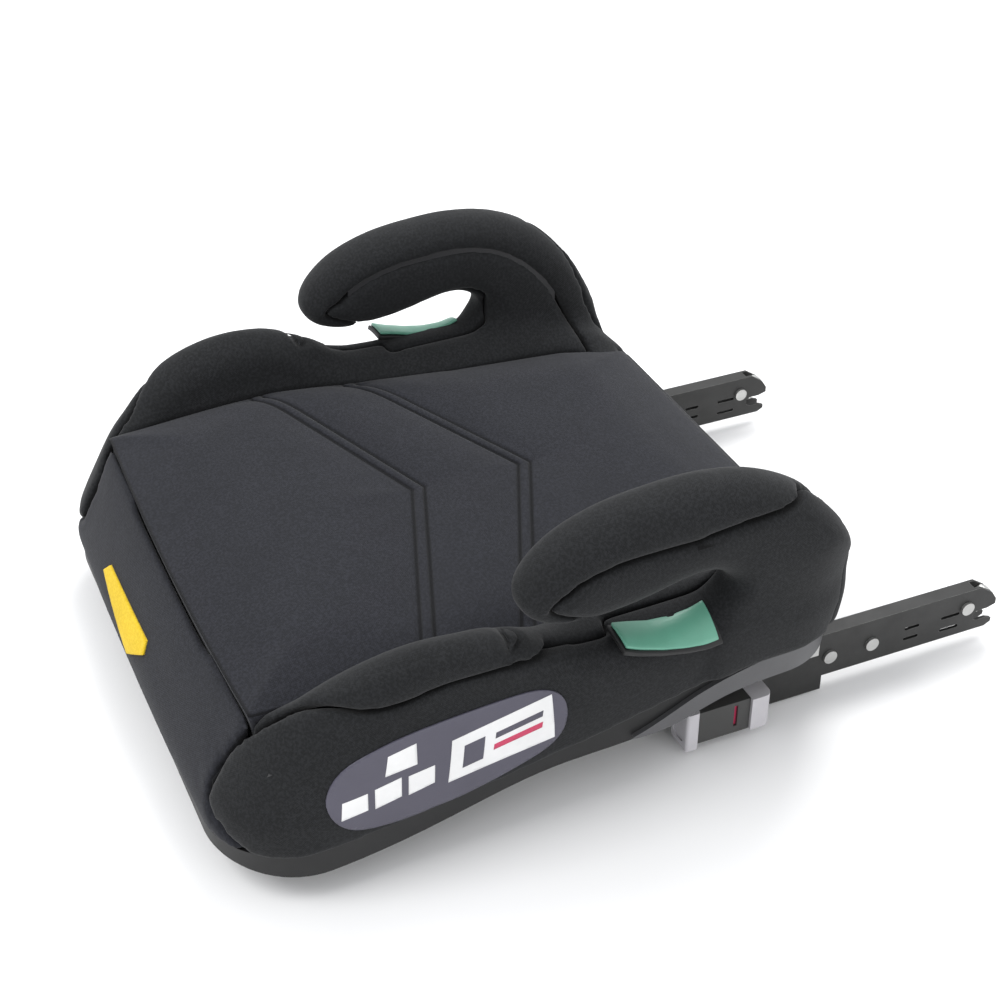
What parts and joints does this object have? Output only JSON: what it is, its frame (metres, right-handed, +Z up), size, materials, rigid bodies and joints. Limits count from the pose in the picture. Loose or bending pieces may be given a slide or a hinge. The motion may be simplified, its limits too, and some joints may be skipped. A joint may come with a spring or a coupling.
{
  "type": "booster seat",
  "caption": "Backless child's booster seat with padded armrests, belt guides under them and steel arms that slide out behind and latch on a car's anchor bars.",
  "frame": {"origin": "on the floor plane under the middle of the base pan", "axes": "+Z up, -Y towards the front of the seat, +X towards the child's left; the anchor arms point to +Y"},
  "size_m": [0.383, 0.5156, 0.203],
  "materials": {
    "seat_fabric": "knitted cloth",
    "side_fabric": "knitted cloth",
    "tag_fabric": "woven",
    "foam": "open-cell foam",
    "base_plastic": "fine grain",
    "trim_plastic": "fine grain",
    "shell_plastic": "matte",
    "guide_plastic": "smooth satin",
    "label_film": "satin film",
    "button_plastic": "satin",
    "housing_plastic": "fine grain",
    "red_plastic": "glossy",
    "green_plastic": "glossy",
    "nylon": "natural nylon",
    "black_steel": "powder coated",
    "zinc_steel": "zinc plated"
  },
  "bodies": {
    "base": {"seat_cover": "seat_fabric", "front_cover": "side_fabric", "rear_cover": "side_fabric", "side_cover_left": "side_fabric", "side_cover_right": "side_fabric", "bolster_cover_left": "side_fabric", "bolster_cover_right": "side_fabric", "armrest_cover_left": "side_fabric", "armrest_cover_right": "side_fabric", "front_tag": "tag_fabric", "foam_pad": "foam", "base_tray": "base_plastic", "base_trim": "trim_plastic", "seat_shell": "shell_plastic", "armrest_core_left": "shell_plastic", "armrest_core_right": "shell_plastic", "belt_guide_left": "guide_plastic", "belt_guide_right": "guide_plastic", "belt_guide_body_left": "housing_plastic", "belt_guide_body_right": "housing_plastic", "instruction_label": "label_film", "anchor_rail_left": "zinc_steel", "anchor_rail_right": "zinc_steel", "rail_screws_left": "zinc_steel", "rail_screws_right": "zinc_steel", "shell_screws": "zinc_steel"},
    "arm_left": {"anchor_arm_left": "black_steel", "arm_rivets_left": "zinc_steel", "hook_pivot_left": "zinc_steel", "slide_shoes_left": "nylon", "release_housing_left": "housing_plastic", "release_spring_left": "zinc_steel"},
    "button_left": {"release_button_left": "button_plastic"},
    "hook_left": {"latch_hook_left": "zinc_steel"},
    "indicator_left": {"indicator_red_left": "red_plastic", "indicator_green_left": "green_plastic"},
    "arm_right": {"anchor_arm_right": "black_steel", "arm_rivets_right": "zinc_steel", "hook_pivot_right": "zinc_steel", "slide_shoes_right": "nylon", "release_housing_right": "housing_plastic", "release_spring_right": "zinc_steel"},
    "button_right": {"release_button_right": "button_plastic"},
    "hook_right": {"latch_hook_right": "zinc_steel"},
    "indicator_right": {"indicator_red_right": "red_plastic", "indicator_green_right": "green_plastic"}
  },
  "joints": [
    {"name": "arm_slide_left", "type": "slide", "parent": "base", "child": "arm_left", "axis": [0, 1, 0], "range_m": [-0.1, 0]},
    {"name": "button_press_left", "type": "slide", "parent": "arm_left", "child": "button_left", "axis": [0, 1, 0], "range_m": [0, 0.006], "stiffness_N_per_m": 400, "deforming": ["release_spring_left"]},
    {"name": "hook_turn_left", "type": "hinge", "parent": "arm_left", "child": "hook_left", "pos_m": [0.14, 0.3, 0.031], "axis": [1, 0, 0], "range_deg": [-40, 0]},
    {"name": "indicator_slide_left", "type": "slide", "parent": "arm_left", "child": "indicator_left", "axis": [0, 1, 0], "range_m": [0, 0.0065]},
    {"name": "arm_slide_right", "type": "slide", "parent": "base", "child": "arm_right", "axis": [0, 1, 0], "range_m": [-0.1, 0]},
    {"name": "button_press_right", "type": "slide", "parent": "arm_right", "child": "button_right", "axis": [0, 1, 0], "range_m": [0, 0.006], "stiffness_N_per_m": 400, "deforming": ["release_spring_right"]},
    {"name": "hook_turn_right", "type": "hinge", "parent": "arm_right", "child": "hook_right", "pos_m": [-0.14, 0.3, 0.031], "axis": [1, 0, 0], "range_deg": [-40, 0]},
    {"name": "indicator_slide_right", "type": "slide", "parent": "arm_right", "child": "indicator_right", "axis": [0, 1, 0], "range_m": [0, 0.0065]}
  ],
  "couplings": [
    {"joint": "indicator_slide_left", "follows": "hook_turn_left", "m_per_rad": -0.0093},
    {"joint": "indicator_slide_right", "follows": "hook_turn_right", "m_per_rad": -0.0093}
  ]
}
